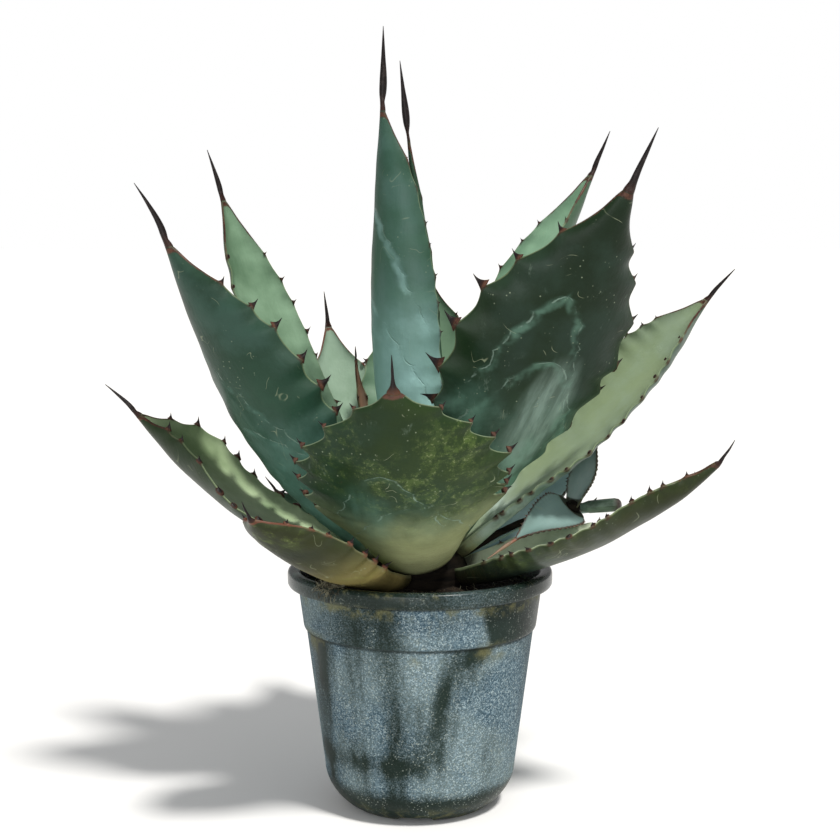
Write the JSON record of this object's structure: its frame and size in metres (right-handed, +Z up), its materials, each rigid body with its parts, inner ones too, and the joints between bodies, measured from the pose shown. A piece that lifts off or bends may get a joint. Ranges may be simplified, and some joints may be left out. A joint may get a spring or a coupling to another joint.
{
  "type": "potted agave",
  "caption": "Agave rosette of cupped, toothed, spine-tipped leaves on a short stem, with a small offset plant, growing in soil in a round tapered pot with a rolled lip.",
  "frame": {"origin": "centre of the pot's foot, on the surface it stands on", "axes": "+Z up along the pot's axis, -Y towards the front, where the broad front leaf stands, +X to the right seen from the front"},
  "size_m": [0.5106, 0.4946, 0.6274],
  "materials": {
    "leaf_blue_green": "waxy satin, blue-green with pale bud prints",
    "leaf_dark_green": "waxy satin, dark green with pale prints and scratches",
    "leaf_pale_face": "matt waxy bloom, pale grey-green",
    "leaf_olive": "waxy satin, olive green, tan towards the foot",
    "leaf_bud": "waxy satin, dark green",
    "leaf_dried": "dry, red-brown and cream",
    "offset_blue": "matt waxy bloom, blue-grey",
    "stem_bark": "dry leaf scars",
    "soil": "loose dark potting mix with fibres",
    "pot_plastic": "worn black plastic, dusty and smeared"
  },
  "bodies": {
    "root": {"bud_leaf": "leaf_bud", "leaf_back_left": "leaf_pale_face", "leaf_back_low": "leaf_blue_green", "leaf_back_low_left": "leaf_blue_green", "leaf_back_low_right": "leaf_blue_green", "leaf_back_right": "leaf_pale_face", "leaf_centre_tall": "leaf_blue_green", "leaf_dried": "leaf_dried", "leaf_front": "leaf_dark_green", "leaf_front_left": "leaf_olive", "leaf_left_inner": "leaf_pale_face", "leaf_left_lowest": "leaf_olive", "leaf_left_tall": "leaf_blue_green", "leaf_right_inner": "leaf_pale_face", "leaf_right_low": "leaf_pale_face", "leaf_right_lowest": "leaf_olive", "leaf_right_tall": "leaf_dark_green", "leaf_right_under": "leaf_dark_green", "offset_leaf_back": "offset_blue", "offset_leaf_drooping": "offset_blue", "offset_leaf_rolled": "leaf_bud", "offset_leaf_upright": "offset_blue", "offset_runner": "stem_bark", "pot": "pot_plastic", "soil_and_roots": "soil", "stem": "stem_bark"}
  },
  "joints": []
}
